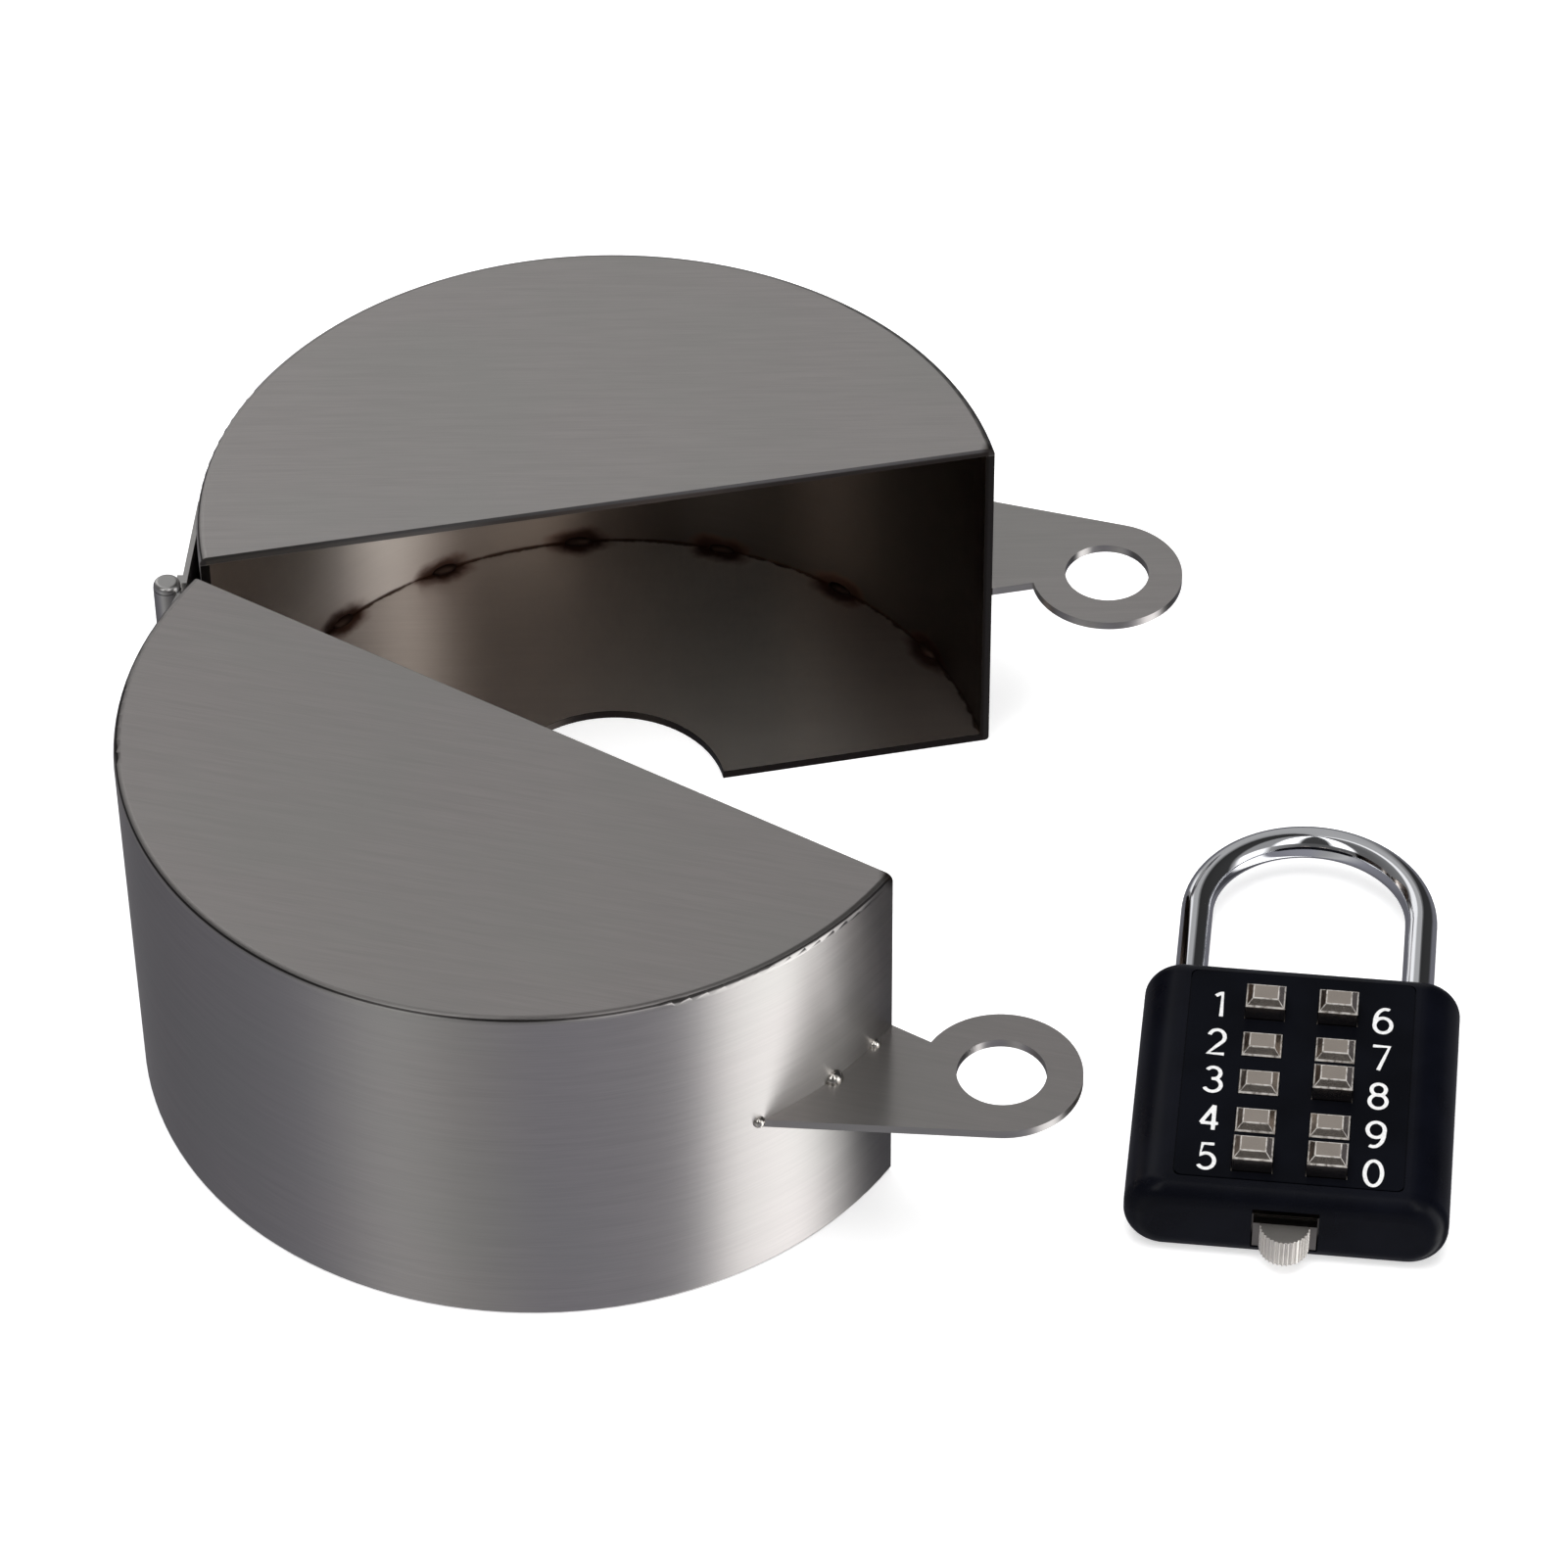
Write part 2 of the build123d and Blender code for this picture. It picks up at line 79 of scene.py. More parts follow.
# Brushed sheet: its colour and finish, and the brush marks to the metre, along and across the brushing.
STEEL_TONE = (0.60, 0.57, 0.558)
STEEL_ROUGHNESS = 0.28      # at the least: the brush marks add up to 0.1
STEEL_ANISOTROPY = 0.9
COARSE_MARKS = (60, 1100)
FINE_MARKS = (130, 5200)
TACK_HEAT = 3.3 * MM        # how far the heat tint reaches from a tack weld
HEAT_TINTS = (
    (0.0, (0.10, 0.06, 0.045)), (0.3, (0.11, 0.06, 0.045)), (0.45, (0.20, 0.10, 0.075)),
    (0.65, (0.34, 0.22, 0.16)), (1.0, (0.55, 0.45, 0.36)),
)


class Net:
    """A node material, with short calls for the nodes it needs."""

    def __init__(self, name):
        self.material = bpy.data.materials.new(name)
        self.material.use_nodes = True
        self.tree = self.material.node_tree
        self.shader = self.tree.nodes["Principled BSDF"]
        self.place = self.node("ShaderNodeTexCoord").outputs["Object"]

    def node(self, kind, inputs=(), **properties):
        made = self.tree.nodes.new(kind)
        for key, value in properties.items():
            setattr(made, key, value)
        for key, value in dict(inputs).items():
            self.feed(made.inputs[key], value)
        return made

    def feed(self, socket, value):
        if isinstance(value, bpy.types.NodeSocket):
            self.tree.links.new(value, socket)
        else:
            socket.default_value = value

    def set(self, **inputs):
        for key, value in inputs.items():
            self.feed(self.shader.inputs[key.replace("_", " ")], value)
        return self

    def math(self, operation, a, b=0.0, clamp=False):
        return self.node("ShaderNodeMath", {0: a, 1: b}, operation=operation, use_clamp=clamp).outputs[0]

    def vector(self, operation, a, b=(0, 0, 0)):
        made = self.node("ShaderNodeVectorMath", {0: a, 1: b}, operation=operation)
        return made.outputs["Value" if operation in ("LENGTH", "DISTANCE", "DOT_PRODUCT") else "Vector"]

    def split(self, vector):
        return self.node("ShaderNodeSeparateXYZ", {0: vector}).outputs

    def join(self, x, y, z=0.0):
        return self.node("ShaderNodeCombineXYZ", {0: x, 1: y, 2: z}).outputs[0]

    def turn(self, vector, angle, centre=(0, 0, 0)):
        made = self.node("ShaderNodeVectorRotate", {"Vector": vector, "Center": centre, "Angle": angle},
                         rotation_type="Z_AXIS")
        return made.outputs[0]

    def noise(self, vector, scale, detail=2.0):
        inputs = {"Vector": vector, "Scale": scale, "Detail": detail}
        return self.node("ShaderNodeTexNoise", inputs).outputs[0]

    def ease(self, value, start, end, low=0.0, high=1.0):
        """low before start, high after end, and smooth between."""
        made = self.node("ShaderNodeMapRange",
                         {"Value": value, "From Min": start, "From Max": end, "To Min": low, "To Max": high},
                         interpolation_type="SMOOTHSTEP")
        return made.outputs[0]

    def mix(self, share, a, b):
        """Colour a, or colour b where share is 1."""
        return self.node("ShaderNodeMix", {0: share, 6: a, 7: b}, data_type="RGBA").outputs[2]

    def ramp(self, value, stops):
        made = self.node("ShaderNodeValToRGB", {0: value})
        fill_ramp(made.color_ramp, stops)
        return made.outputs[0]

    def bump(self, height, strength, distance):
        inputs = {"Height": height, "Strength": strength, "Distance": distance}
        return self.node("ShaderNodeBump", inputs).outputs[0]

    def upward(self):
        """How far the surface faces up: 1 on a level top, 0 on a wall."""
        return self.split(self.node("ShaderNodeNewGeometry").outputs["Normal"])[2]

    def product(self, *values):
        """All the values multiplied together."""
        result = values[0]
        for value in values[1:]:
            result = self.math("MULTIPLY", result, value)
        return result


def fill_ramp(ramp, stops):
    """Give a colour ramp its stops, each a place from 0 to 1 and a colour."""
    while len(ramp.elements) < len(stops):
        ramp.elements.new(0.5)
    for element, (place, colour) in zip(ramp.elements, stops):
        element.position = place
        element.color = (*colour, 1)


def rgb(*colour):
    return (*colour, 1)


def scaled(colour, factor):
    """A colour made darker or brighter, and never past white."""
    return rgb(*(min(1, c * factor) for c in colour))


def half_place(net, half):
    """The point as it is on the rear half, or on the front half once it is shut and mirrored."""
    if half == "rear":
        return net.place
    shut = net.turn(net.place, OPEN_ANGLE, HINGE)
    return net.vector("MULTIPLY", shut, (1, -1, 1))


def brushed(net, place, heading):
    """Brush marks, and 1 where a plate is level: along the heading on plates, round the drum on walls."""
    x, y, z = net.split(place)
    around = net.math("MULTIPLY", net.math("ARCTAN2", y, x), DRUM_RADIUS)
    flat_x, flat_y, _ = net.split(net.turn(place, -heading))
    flat = net.math("GREATER_THAN", net.math("ABSOLUTE", net.upward()), 0.7)
    along = net.node("ShaderNodeMix", {0: flat, 2: around, 3: flat_x}).outputs[0]
    across = net.node("ShaderNodeMix", {0: flat, 2: z, 3: flat_y}).outputs[0]
    coarse = streak_noise(net, along, across, *COARSE_MARKS, detail=3)
    fine = streak_noise(net, along, across, *FINE_MARKS, detail=2)
    return net.math("ADD", net.product(coarse, 0.5), net.product(fine, 0.5)), flat


def streak_noise(net, along, across, per_metre_along, per_metre_across, detail):
    """Noise drawn out into streaks."""
    stretched = net.join(net.product(along, per_metre_along), net.product(across, per_metre_across))
    return net.noise(stretched, 1.0, detail)


def grain_direction(net, flat, heading):
    """The way a highlight stretches: across the brushing."""
    across = net.node("ShaderNodeMix", {0: flat, 4: (0, 0, 1), 5: (-math.sin(heading), math.cos(heading), 0)},
                      data_type="VECTOR").outputs[1]
    made = net.node("ShaderNodeVectorTransform", {0: across}, vector_type="VECTOR",
                    convert_from="OBJECT", convert_to="WORLD")
    return made.outputs[0]


def circle_distance(net, radial, z, radius, height):
    """How far a point is from a level circle about the drum's axis."""
    outward = net.math("SUBTRACT", radial, radius)
    return net.vector("LENGTH", net.join(outward, net.math("SUBTRACT", z, height)))


def tack_distance(net, x, y, radial, z):
    """How far a point is from the nearest tack weld, counting less along the seam."""
    around = net.math("MULTIPLY", net.math("ARCTAN2", y, x), INNER_RADIUS)
    from_wall = net.math("SUBTRACT", radial, INNER_RADIUS)
    above = net.math("SUBTRACT", z, SHEET)
    nearest = None
    for angle in TACK_ANGLES:
        along = net.math("SUBTRACT", around, math.radians(angle) * INNER_RADIUS)
        apart = net.vector("LENGTH", net.join(net.math("MULTIPLY", along, 0.6), from_wall, above))
        nearest = apart if nearest is None else net.math("MINIMUM", nearest, apart)
    return nearest


def near_plane(net, value, reach):
    """1 within reach of zero, 0 beyond it."""
    return net.math("LESS_THAN", net.math("ABSOLUTE", value), reach)


def wander(net, place, grain, detail, reach):
    """An uneven distance, up to half of reach either way, that roughens an edge."""
    return net.product(net.math("SUBTRACT", net.noise(place, grain, detail), 0.5), reach)


def inside_tint_and_shade(net, tone, x, inside, flat):
    """The inside of a half: a warm tint, light towards the hinge and painted darker towards the lug as
    painted shade, near black on the walls there, and a painted highlight across the floor.
    """
    # share of the warm tint and painted shade, more towards the lug
    tint_and_shade_share = net.ease(x, -30 * MM, 10 * MM, 0.65, 0.92)
    # level floors take much less of the tint and painted shade, except far towards the lug
    floor_less_shade = net.product(flat, net.ease(x, 18 * MM, 40 * MM, 0.68, 0.2))
    tint_and_shade_share = net.product(tint_and_shade_share, net.math("SUBTRACT", 1.0, floor_less_shade))
    warm_tint_and_shade = net.mix(net.ease(x, -24 * MM, -11 * MM), rgb(1.0, 0.91, 0.83), rgb(0.38, 0.30, 0.25))
    # painted shade: the walls near black towards the lug
    wall_painted_shade = net.product(net.ease(x, 4 * MM, 24 * MM), net.math("SUBTRACT", 1.0, flat))
    warm_tint_and_shade = net.mix(wall_painted_shade, warm_tint_and_shade, rgb(0.07, 0.053, 0.043))
    tone = net.mix(net.product(inside, tint_and_shade_share), tone, warm_tint_and_shade)
    # painted highlight: a pale band across the inside floor
    painted_highlight = net.product(net.ease(x, -24 * MM, 4 * MM), net.ease(x, 44 * MM, 26 * MM, 0, 0.75))
    return net.mix(net.product(inside, flat, painted_highlight), tone, rgb(0.86, 0.82, 0.76))


def heat_marks(net, tone, place, radial, inside, uneven):
    """Blued and browned steel round the tack welds, and the dark seam between them."""
    x, y, z = net.split(place)
    near_tack = net.math("ADD", tack_distance(net, x, y, radial, z), uneven)
    tint = net.ramp(net.math("MULTIPLY", near_tack, 1 / (6 * MM), clamp=True), HEAT_TINTS)
    tone = net.mix(net.product(net.ease(near_tack, TACK_HEAT, 1.4 * MM), inside), tone, tint)
    wavy = net.math("ADD", radial, wander(net, place, 420, 2, 1.2 * MM))
    seam = net.ease(circle_distance(net, wavy, z, INNER_RADIUS, SHEET), 0.5 * MM, 0.15 * MM)
    return net.mix(net.product(seam, 0.85), tone, rgb(0.10, 0.055, 0.035))


def dark_edges(net, tone, place, radial, uneven):
    """Thin dark lines along the cut edges, a dark corner by the lug, and painted shade on the rolled rim: a
    thin dark line where it faces half up and a dimmer crown above it.
    """
    _, y, z = net.split(place)
    at_cut = near_plane(net, y, 0.15 * MM)
    above = net.math("GREATER_THAN", z, WALL_TOP + 0.05 * MM)
    tone = net.mix(net.product(above, at_cut, 0.5), tone, rgb(0.04, 0.035, 0.03))
    # painted shade: a thin dark line on the rolled rim where it faces half up, and a dimmer crown above it
    slope = net.upward()
    rim_painted_shade = net.ease(net.math("ABSOLUTE", net.math("SUBTRACT", slope, 0.7)), 0.16, 0.06)
    tone = net.mix(net.product(rim_painted_shade, above, 0.88), tone, rgb(0.012, 0.01, 0.01))
    crown_painted_shade = net.product(net.ease(slope, 0.8, 0.88), net.ease(slope, 0.999, 0.985))
    tone = net.mix(net.product(crown_painted_shade, above, 0.35), tone, rgb(0.03, 0.028, 0.026))
    low = net.math("LESS_THAN", z, WALL_TOP - 0.1 * MM)
    on_drum = net.math("LESS_THAN", radial, DRUM_RADIUS + 0.1 * MM)
    cut = net.product(at_cut, low, on_drum)
    bore = net.product(near_plane(net, net.math("SUBTRACT", radial, STEM_RADIUS), 0.06 * MM), low)
    tone = net.mix(net.product(net.math("MAXIMUM", cut, bore), 0.95), tone, rgb(0.025, 0.02, 0.018))
    corner = net.vector("DISTANCE", place, (DRUM_RADIUS - 0.4 * MM, 0, WALL_TOP + SHEET))
    mark = net.ease(net.math("ADD", corner, uneven), 2.2 * MM, 0.6 * MM, 0, 0.85)
    return net.mix(mark, tone, rgb(0.06, 0.045, 0.035))


def sheet_steel(name, half, heading, level_painted_shade):
    """Brushed stainless sheet: bright outside, warmer within, tinted by heat beside its welds, with painted
    shade on its level faces, lug, rim and inside towards the lug, and a painted highlight on the inside
    floor.
    """
    net = Net(name)
    place = half_place(net, half)
    x, y, z = net.split(place)
    radial = net.vector("LENGTH", net.join(x, y))
    streaks, flat = brushed(net, place, heading)
    inside = net.product(net.ease(radial, 51.9 * MM, 51.5 * MM),
                         net.ease(z, WALL_TOP + 0.9 * MM, WALL_TOP + 0.5 * MM))

    tone = net.mix(net.ease(streaks, 0.3, 0.7), scaled(STEEL_TONE, 0.93), scaled(STEEL_TONE, 1.05))
    cloud = net.ease(net.noise(place, 38, 3), 0.35, 0.68, 0, 0.35)
    tone = net.mix(cloud, tone, rgb(0.55, 0.56, 0.53))
    # painted shade: the level faces darkened, the front half's more than the rear's
    tone = net.mix(net.product(flat, 1 - level_painted_shade), tone, rgb(0.02, 0.0, 0.0))
    # painted shade: the lug a little darker and bluer than the drum
    lug_painted_shade = net.ease(radial, DRUM_RADIUS + 0.3 * MM, DRUM_RADIUS + 0.9 * MM, 0, 0.07)
    tone = net.mix(lug_painted_shade, tone, rgb(0.0, 0.0, 0.012))
    tone = inside_tint_and_shade(net, tone, x, inside, flat)
    uneven = wander(net, place, 260, 3, 2.4 * MM)
    tone = heat_marks(net, tone, place, radial, inside, uneven)
    tone = dark_edges(net, tone, place, radial, uneven)

    rough = net.math("ADD", STEEL_ROUGHNESS, net.product(streaks, 0.1))
    net.set(Base_Color=tone, Metallic=1.0, Roughness=rough, Anisotropic=STEEL_ANISOTROPY,
            Tangent=grain_direction(net, flat, heading),
            Normal=net.bump(streaks, 0.25, 0.02 * MM))
    return net.material


def plain_metal(name, base, roughness, speckle=0.08, grain=900, bump=0.1, metallic=1.0, top_painted_shade=1.0):
    """A cast, turned or plated metal with slight blotches and fine marks, and if asked, painted shade on its
    upward faces.
    """
    net = Net(name)
    marks = net.noise(net.place, grain, 4)
    cloud = net.noise(net.place, grain / 7, 2)
    tone = net.mix(net.ease(cloud, 0.3, 0.7), scaled(base, 1 - speckle), scaled(base, 1 + speckle))
    # painted shade: the upward faces darkened, as on the knob's top
    if top_painted_shade < 1:
        tone = net.mix(net.ease(net.upward(), 0.8, 0.95, 0, 1 - top_painted_shade), tone, rgb(0, 0, 0))
    rough = net.math("ADD", roughness - 0.04, net.math("MULTIPLY", marks, 0.08))
    net.set(Base_Color=tone, Metallic=metallic, Roughness=rough, Normal=net.bump(marks, bump, 0.03 * MM))
    return net.material


def button_metal(name, base, highlight_tone):
    """Plated buttons with painted highlights, less metallic, along the ridges of their bevels."""
    net = Net(name)
    from_lock = net.turn(net.vector("SUBTRACT", net.place, tuple(LOCK_PLACE)), -LOCK_TURN)
    across, along, _ = net.split(from_lock)
    column = net.math("ABSOLUTE", net.math("SUBTRACT", net.math("ABSOLUTE", across), COLUMN_X))
    row = net.math("PINGPONG", net.math("SUBTRACT", along, ROW_MIDDLE), ROW_PITCH / 2)
    side = net.math("SUBTRACT", column, CAP_X / 2)
    end = net.math("SUBTRACT", row, CAP_Y / 2)
    inset = net.math("MAXIMUM", side, end)
    ridge = net.math("MINIMUM", net.math("ABSOLUTE", net.math("ADD", inset, CAP_BEVEL)),
                     net.math("ABSOLUTE", net.math("ADD", inset, 0.1 * MM)))
    corner = net.math("ADD", net.math("ABSOLUTE", net.math("SUBTRACT", side, end)),
                      net.math("LESS_THAN", inset, -CAP_BEVEL))
    ridge = net.math("MINIMUM", ridge, corner)
    marks = net.noise(net.place, 1500, 4)
    # painted highlight: bright, less metallic lines along the bevel ridges of the upward faces
    painted_highlight = net.product(net.ease(ridge, 0.15 * MM, 0.04 * MM), net.ease(marks, 0.3, 0.6, 0.35, 0.85),
                       net.math("GREATER_THAN", net.upward(), 0.3))
    tone = net.mix(net.ease(net.noise(net.place, 214, 2), 0.3, 0.7), scaled(base, 0.93), rgb(*base))
    tone = net.mix(painted_highlight, tone, rgb(*highlight_tone))
    metallic = net.math("SUBTRACT", 1.0, net.math("MULTIPLY", painted_highlight, 0.6))
    rough = net.math("ADD", 0.16, net.math("MULTIPLY", marks, 0.08))
    net.set(Base_Color=tone, Metallic=metallic, Roughness=rough, Normal=net.bump(marks, 0.15, 0.03 * MM))
    return net.material


def enamel(name, base, roughness, gloss):
    """Smooth black stoving enamel with a little unevenness."""
    net = Net(name)
    peel = net.noise(net.place, 700, 2)
    cloud = net.noise(net.place, 120, 3)
    tone = net.mix(net.ease(cloud, 0.3, 0.7), scaled(base, 0.8), scaled(base, 1.3))
    rough = net.math("ADD", roughness - 0.05, net.math("MULTIPLY", cloud, 0.1))
    net.set(Base_Color=tone, Roughness=rough, Normal=net.bump(peel, 0.08, 0.03 * MM))
    net.shader.inputs["Specular IOR Level"].default_value = gloss
    return net.material


def paint(name, base):
    """Filled-in paint, a little grimy."""
    net = Net(name)
    grime = net.noise(net.place, 2600, 3)
    tone = net.mix(net.ease(grime, 0.35, 0.75), rgb(*base), scaled(base, 0.82))
    net.set(Base_Color=tone, Roughness=0.45, Normal=net.bump(grime, 0.1, 0.02 * MM))
    return net.material


REAR_GRAIN = math.radians(-11)
FRONT_GRAIN = math.radians(-17.7)   # once shut and mirrored

rear_steel = sheet_steel("rear_sheet_steel", "rear", REAR_GRAIN, 0.98)
front_steel = sheet_steel("front_sheet_steel", "front", FRONT_GRAIN, 0.79)
weld_metal = plain_metal("weld_metal", (0.78, 0.74, 0.69), 0.17, 0.2, 700, 0.5)
tack_metal = plain_metal("tack_metal", (0.05, 0.03, 0.023), 0.55, 0.5, 900, 0.6)
hinge_metal = plain_metal("hinge_metal", (0.58, 0.57, 0.56), 0.34, 0.1, 500, 0.3)
black_enamel = enamel("black_enamel", (0.0028, 0.0032, 0.0058), 0.28, 0.12)
face_black = enamel("face_black", (0.0022, 0.0026, 0.0045), 0.4, 0.07)
chrome = plain_metal("chrome", (0.86, 0.87, 0.9), 0.06, 0.02, 400, 0.03)
champagne = button_metal("button_nickel", (0.66, 0.585, 0.52), (0.95, 0.91, 0.86))
knob_nickel = plain_metal("knob_nickel", (0.84, 0.80, 0.75), 0.25, 0.08, 1500, 0.15, 0.7, 0.4)
plate_nickel = plain_metal("plate_nickel", (0.30, 0.28, 0.26), 0.3, 0.15, 1500, 0.15)
zinc = plain_metal("screw_zinc", (0.62, 0.62, 0.6), 0.3, 0.1, 1500, 0.15)
spring_steel = plain_metal("spring_steel", (0.5, 0.5, 0.5), 0.25, 0.05, 1500, 0.1)
digit_white = paint("digit_white", (0.88, 0.88, 0.88))

NODE_MATERIALS = (
    ("rear_lug_welds", weld_metal), ("front_lug_welds", weld_metal),
    ("rear_tack_welds", tack_metal), ("front_tack_welds", tack_metal),
    ("rear_hinge", hinge_metal), ("front_hinge", hinge_metal), ("hinge_pin", hinge_metal),
    ("rear_", rear_steel), ("front_", front_steel),
    ("button_spring", spring_steel), ("button_", champagne),
    ("lock_case", black_enamel), ("back_cover_screws", zinc), ("back_cover", black_enamel),
    ("face_plate", face_black), ("shackle", chrome),
    ("slider_knob", knob_nickel), ("slider_plate", plate_nickel),
    ("code_slide", zinc), ("latch", zinc), ("retaining_pin", zinc), ("detent_strips", spring_steel),
)


def dress(node, material):
    """Give a piece one material."""
    node.data.materials.clear()
    node.data.materials.append(material)


def wear_edges(node):
    """Round the sharp edges of a button."""
    eased = node.modifiers.new("worn_edges", "BEVEL")
    eased.width = 0.15 * MM
    eased.segments = 2
    eased.limit_method = "ANGLE"


for node_name, node in nodes.items():
    dress(node, next(m for start, m in NODE_MATERIALS if node_name.startswith(start)))
    if node_name.startswith("button_") and "spring" not in node_name:
        wear_edges(node)


# ---- springs under the raised buttons ----

RAISED_BUTTONS = "15680"


def coil(digit):
    """A visible copy of the rigid spring in its place, held with the padlock; the rigid one is hidden."""
    rigid = "button_spring_" + digit
    piece = bpy.data.objects.new("coil_" + digit, nodes[rigid].data.copy())
    piece.matrix_world = nodes[rigid].matrix_world.copy()
    bpy.context.scene.collection.objects.link(piece)
    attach(piece, "padlock")
    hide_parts(rigid)
    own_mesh(piece)


for digit in RAISED_BUTTONS:
    coil(digit)


# ---- digits, painted on the face plate beside their buttons ----

DIGIT_TALL = 4.25 * MM      # between stroke centres
DIGIT_WIDE = 2.15 * MM
STROKE_RADIUS = 0.27 * MM
PAINT_RISE = 0.04 * MM
PAINT_VOXEL = 0.07 * MM
DIGIT_OFFSET = 5.8 * MM     # from a button's centre
RIGHT_DROP = 0.7 * MM       # the right-hand digits sit lower than their buttons


def oval(centre_x, centre_y, radius_x, radius_y, start=0, sweep=360, steps=40):
    """Points round part of an oval, in digit widths and heights."""
    turns = [math.radians(start + sweep * i / steps) for i in range(steps + 1)]
    return [(centre_x + radius_x * math.cos(t), centre_y + radius_y * math.sin(t)) for t in turns]


BOWL = oval(0.5, 0.31, 0.5, 0.31)
SIX = [BOWL, [(0.01, 0.34)] + oval(0.62, 0.46, 0.6, 0.54, 172, -104, 16)]
STROKES = {
    "1": [[(0.22, 0.86), (0.52, 0.98), (0.62, 1.0), (0.62, 0.0)]],
    "2": [oval(0.5, 0.7, 0.46, 0.3, 165, -195, 24) + [(0.62, 0.38), (0.02, 0.0), (1.0, 0.0)]],
    "3": [oval(0.48, 0.76, 0.42, 0.24, 150, -240, 24) + oval(0.48, 0.27, 0.5, 0.27, 90, -245, 24)],
    "4": [[(0.74, 0.0), (0.74, 1.0)], [(0.74, 1.0), (0.0, 0.27)], [(0.0, 0.27), (1.02, 0.27)]],
    "5": [[(0.92, 1.0), (0.24, 1.0), (0.14, 0.52)] + oval(0.49, 0.31, 0.5, 0.31, 128, -275, 26)],
    "6": SIX,
    "7": [[(0.0, 1.0), (0.98, 1.0), (0.38, 0.0)]],
    "8": [oval(0.5, 0.77, 0.42, 0.23), oval(0.5, 0.28, 0.5, 0.28)],
    "9": [[(1 - x, 1 - y) for x, y in stroke] for stroke in SIX],
    "0": [oval(0.5, 0.5, 0.5, 0.5)],
}


def digit_curve(digit):
    """The strokes of a digit as round-ended rods about its centre."""
    curve = bpy.data.curves.new("digit_curve_" + digit, "CURVE")
    curve.dimensions = "3D"
    curve.bevel_depth = STROKE_RADIUS
    curve.bevel_resolution = 3
    curve.use_fill_caps = True
    for stroke in STROKES[digit]:
        spline = curve.splines.new("POLY")
        spline.points.add(len(stroke) - 1)
        for point, (x, y) in zip(spline.points, stroke):
            point.co = ((x - 0.5) * DIGIT_WIDE, (y - 0.5) * DIGIT_TALL, 0, 1)
    return curve


def digit_piece(digit, side):
    """One digit of paint, a low rounded line on the face."""
    holder = bpy.data.objects.new("digit_draft_" + digit, digit_curve(digit))
    bpy.context.scene.collection.objects.link(holder)
    low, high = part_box("button_" + digit)
    middle = (low + high) / 2
    middle.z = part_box("face_plate")[1].z
    centre = middle + LOCK_ACROSS * DIGIT_OFFSET * side
    if side > 0:
        centre -= LOCK_ALONG * RIGHT_DROP
    remesh = holder.modifiers.new("join", "REMESH")
    remesh.mode = "VOXEL"
    remesh.voxel_size = PAINT_VOXEL
    remesh.use_smooth_shade = True
    evaluated = holder.evaluated_get(bpy.context.evaluated_depsgraph_get())
    mesh = bpy.data.meshes.new_from_object(evaluated)
    bpy.data.objects.remove(holder)
    flatten = Matrix.Diagonal((1, 1, PAINT_RISE / STROKE_RADIUS, 1))
    mesh.transform(Matrix.Translation(centre) @ Matrix.Rotation(LOCK_TURN, 4, "Z") @ flatten)
    piece = bpy.data.objects.new("digit_" + digit, mesh)
    bpy.context.scene.collection.objects.link(piece)
    dress(piece, digit_white)
    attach(piece, "padlock")


for digit in STROKES:
    digit_piece(digit, -1 if digit in "12345" else 1)


# ---- floor, lights and camera ----

def make_floor():
    """A wide pale sheet that catches the soft shadows."""
    half = 1.6
    corners = [(-half, -half, 0), (half, -half, 0), (half, half, 0), (-half, half, 0)]
    mesh = bpy.data.meshes.new("floor")
    mesh.from_pydata(corners, [], [(0, 1, 2, 3)])
    floor = bpy.data.objects.new("floor", mesh)
    bpy.context.scene.collection.objects.link(floor)
    net = Net("floor_paper")
    fibre = net.noise(net.place, 900, 3)
    net.set(Base_Color=net.mix(fibre, rgb(0.86, 0.86, 0.865), rgb(0.9, 0.9, 0.9)), Roughness=0.9,
            Emission_Color=rgb(1, 1, 1), Emission_Strength=0.55)
    dress(floor, net.material)
    floor.visible_glossy = False


# Panels of light round the object: (azimuth in degrees, brightness), low down, at mid height and overhead.
LOW_LIGHT = (
    (-180, 0.21), (-165, 0.25), (-144, 0.46), (-123, 0.32), (-102, 0.27), (-81, 0.26), (-64, 0.22),
    (-57, 0.26), (-51, 1.4), (-40, 1.45), (-29, 2.7), (-21, 1.2), (-13, 0.10), (-4, 0.05), (12, 0.07),
    (25, 0.16), (133, 0.13), (154, 0.18), (180, 0.21),
)
HIGH_LIGHT = (
    (-180, 0.12), (-100, 0.10), (-70, 0.22), (-62, 0.30), (-54, 1.3), (-44, 1.7), (-28, 1.6), (-20, 0.4),
    (-12, 0.04), (57, 0.03), (66, 0.38), (82, 0.41), (97, 0.41), (103, 0.95), (121, 0.95), (128, 0.20),
    (180, 0.12),
)
TOP_LIGHT = (
    (-180, 0.12), (-157, 0.12), (-150, 1.8), (-132, 1.8), (-124, 0.05), (-94, 0.05), (-86, 1.8), (-68, 1.8),
    (-60, 0.3), (-20, 0.3), (-10, 0.04), (57, 0.03), (66, 0.38), (82, 0.41), (97, 0.41), (103, 0.95),
    (121, 0.95), (128, 0.20), (180, 0.12),
)


# Each tier takes over from the one before between two heights, as the upward part of the direction.
LIGHT_TIERS = ((LOW_LIGHT, 0, 0), (HIGH_LIGHT, -0.09, 0.17), (TOP_LIGHT, 0.5, 0.6))
DIM_PANEL = 0.3


def panel_colour(level, levels):
    """Grey light, but a little blue where the low panels are dim."""
    if levels is LOW_LIGHT and level < DIM_PANEL:
        return level * 0.98, level * 0.98, level * 1.1
    return level, level, level


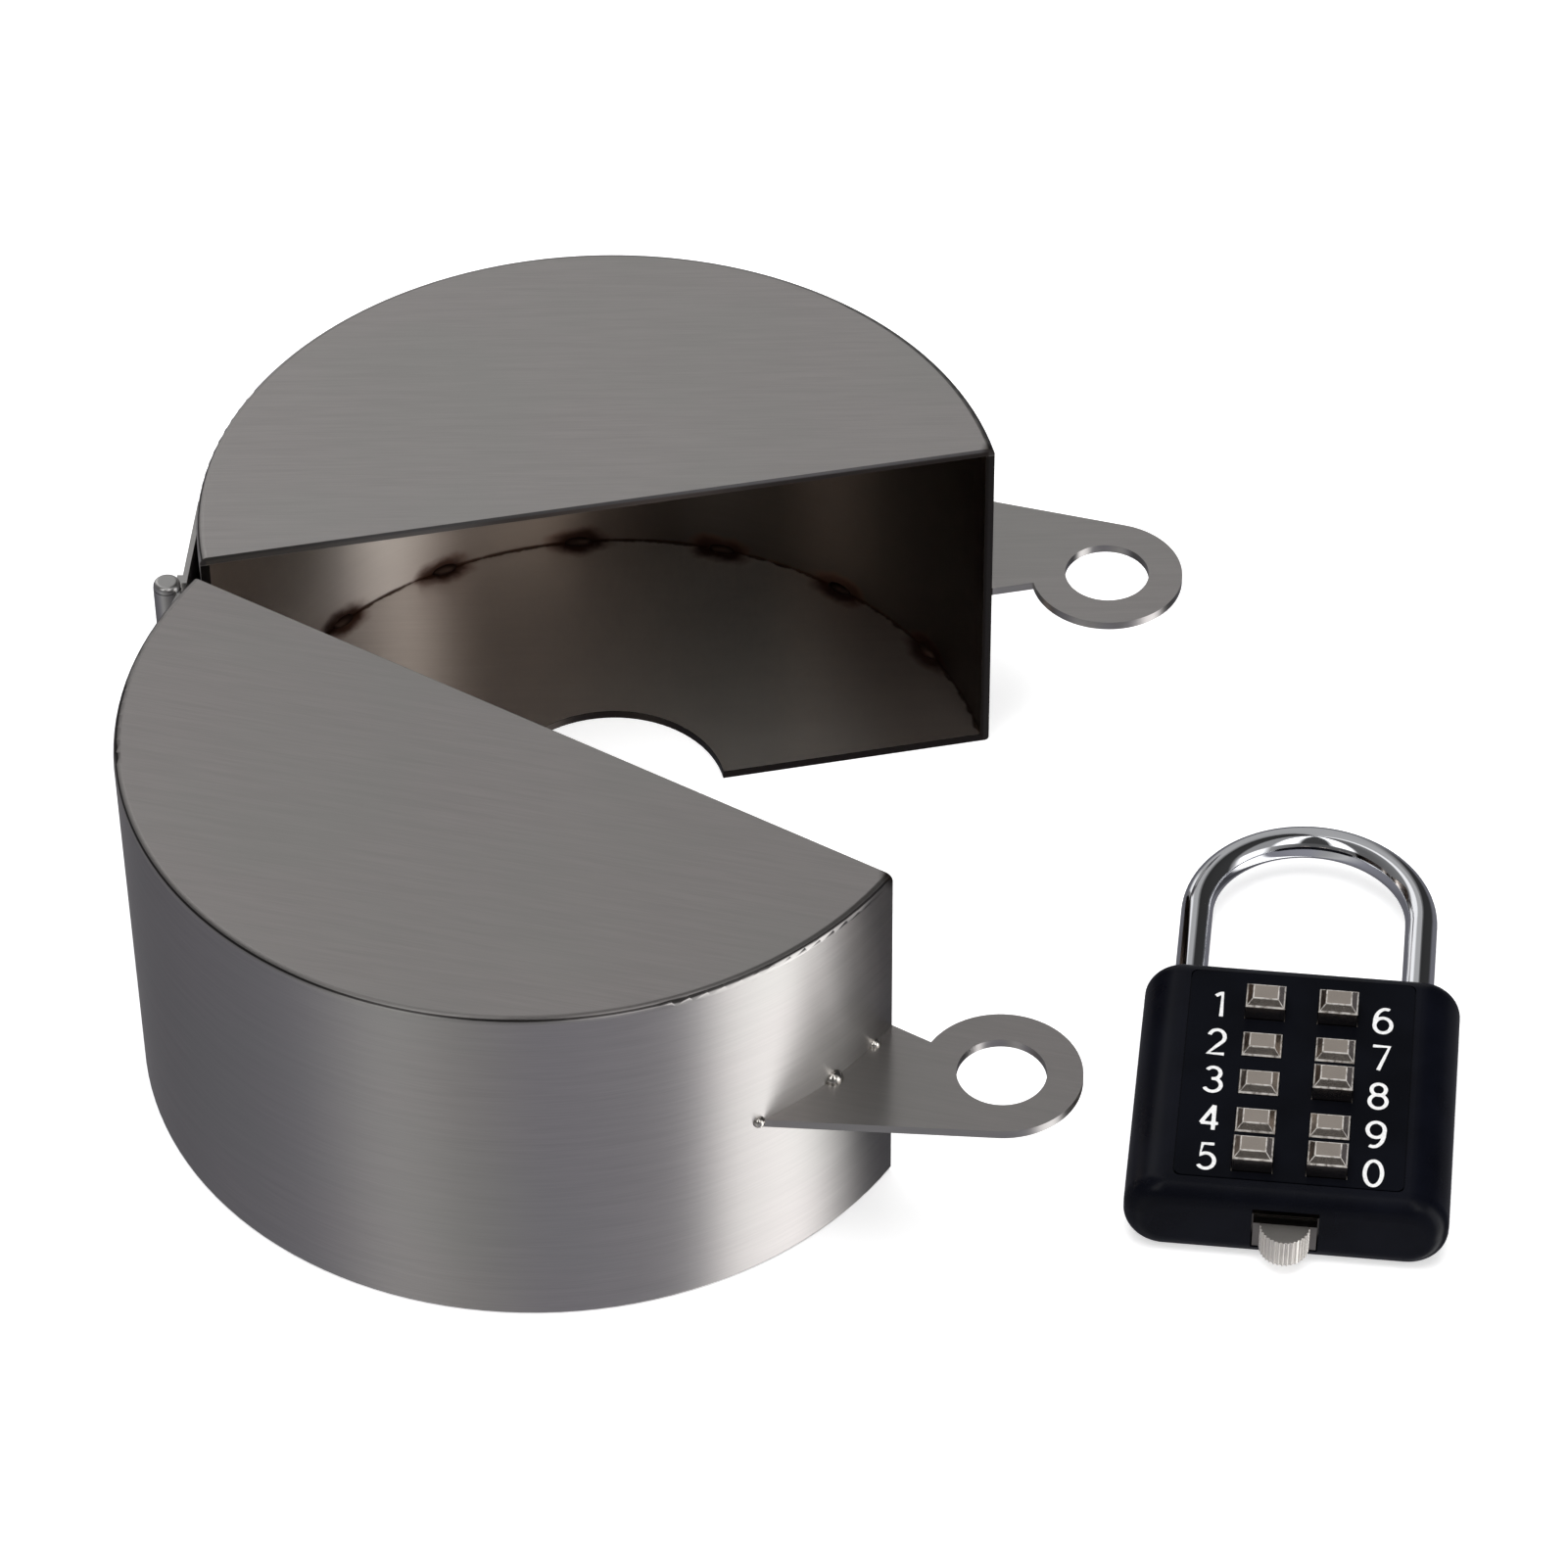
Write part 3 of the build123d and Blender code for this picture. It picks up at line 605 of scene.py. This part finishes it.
def make_world():
    """A light tent: soft panels round the object, brighter and with harder edges high up."""
    world = bpy.data.worlds.new("tent")
    bpy.context.scene.world = world
    world.use_nodes = True
    tree = world.node_tree
    new, link = tree.nodes.new, tree.links.new
    direction = new("ShaderNodeSeparateXYZ")
    link(new("ShaderNodeTexCoord").outputs["Generated"], direction.inputs[0])
    azimuth = new("ShaderNodeMath")
    azimuth.operation = "ARCTAN2"
    link(direction.outputs[1], azimuth.inputs[0])
    link(direction.outputs[0], azimuth.inputs[1])
    share = new("ShaderNodeMapRange")
    share.inputs["From Min"].default_value = -math.pi
    share.inputs["From Max"].default_value = math.pi
    link(azimuth.outputs[0], share.inputs["Value"])
    light = None
    for levels, start, end in LIGHT_TIERS:
        ramp = new("ShaderNodeValToRGB")
        fill_ramp(ramp.color_ramp, [((a + 180) / 360, panel_colour(level, levels)) for a, level in levels])
        link(share.outputs[0], ramp.inputs[0])
        if light is None:
            light = ramp.outputs[0]
            continue
        height = new("ShaderNodeMapRange")
        height.inputs["From Min"].default_value = start
        height.inputs["From Max"].default_value = end
        link(direction.outputs[2], height.inputs["Value"])
        blend = new("ShaderNodeMix")
        blend.data_type = "RGBA"
        link(height.outputs[0], blend.inputs[0])
        link(light, blend.inputs[6])
        link(ramp.outputs[0], blend.inputs[7])
        light = blend.outputs[2]
    link(light, tree.nodes["Background"].inputs[0])


def make_overhead_light():
    """One large soft lamp above, kept out of the metal's reflections."""
    data = bpy.data.lights.new("overhead", "AREA")
    data.size = 0.7
    data.energy = 6.0
    light = bpy.data.objects.new("overhead", data)
    light.location = (0, -0.05, 0.8)
    light.visible_glossy = False
    bpy.context.scene.collection.objects.link(light)


CAMERA_PLACE = (-0.09704, -0.60296, 0.57451)
CAMERA_AIM = (11.3405, 43.1649, -0.5201)    # degrees: right of +Y, down, and roll
CAMERA_LENS = 141.97                        # mm, on a 36 mm sensor


def make_camera():
    """A long lens that looks down at the open side."""
    yaw, pitch, roll = (math.radians(a) for a in CAMERA_AIM)
    forward = Vector((math.sin(yaw) * math.cos(pitch), math.cos(yaw) * math.cos(pitch), -math.sin(pitch)))
    level = Vector((math.cos(yaw), -math.sin(yaw), 0))
    above = level.cross(forward)
    right = level * math.cos(roll) + above * math.sin(roll)
    up = above * math.cos(roll) - level * math.sin(roll)
    data = bpy.data.cameras.new("camera")
    data.sensor_width = 36
    data.lens = CAMERA_LENS
    data.shift_x = -0.00006
    data.shift_y = -0.00126
    data.clip_end = 20
    camera = bpy.data.objects.new("camera", data)
    turned = Matrix((right, up, -forward)).transposed().to_4x4()
    camera.matrix_world = Matrix.Translation(CAMERA_PLACE) @ turned
    bpy.context.scene.collection.objects.link(camera)
    bpy.context.scene.camera = camera


make_floor()
make_world()
make_overhead_light()
make_camera()
bpy.context.scene.view_settings.view_transform = "Standard"
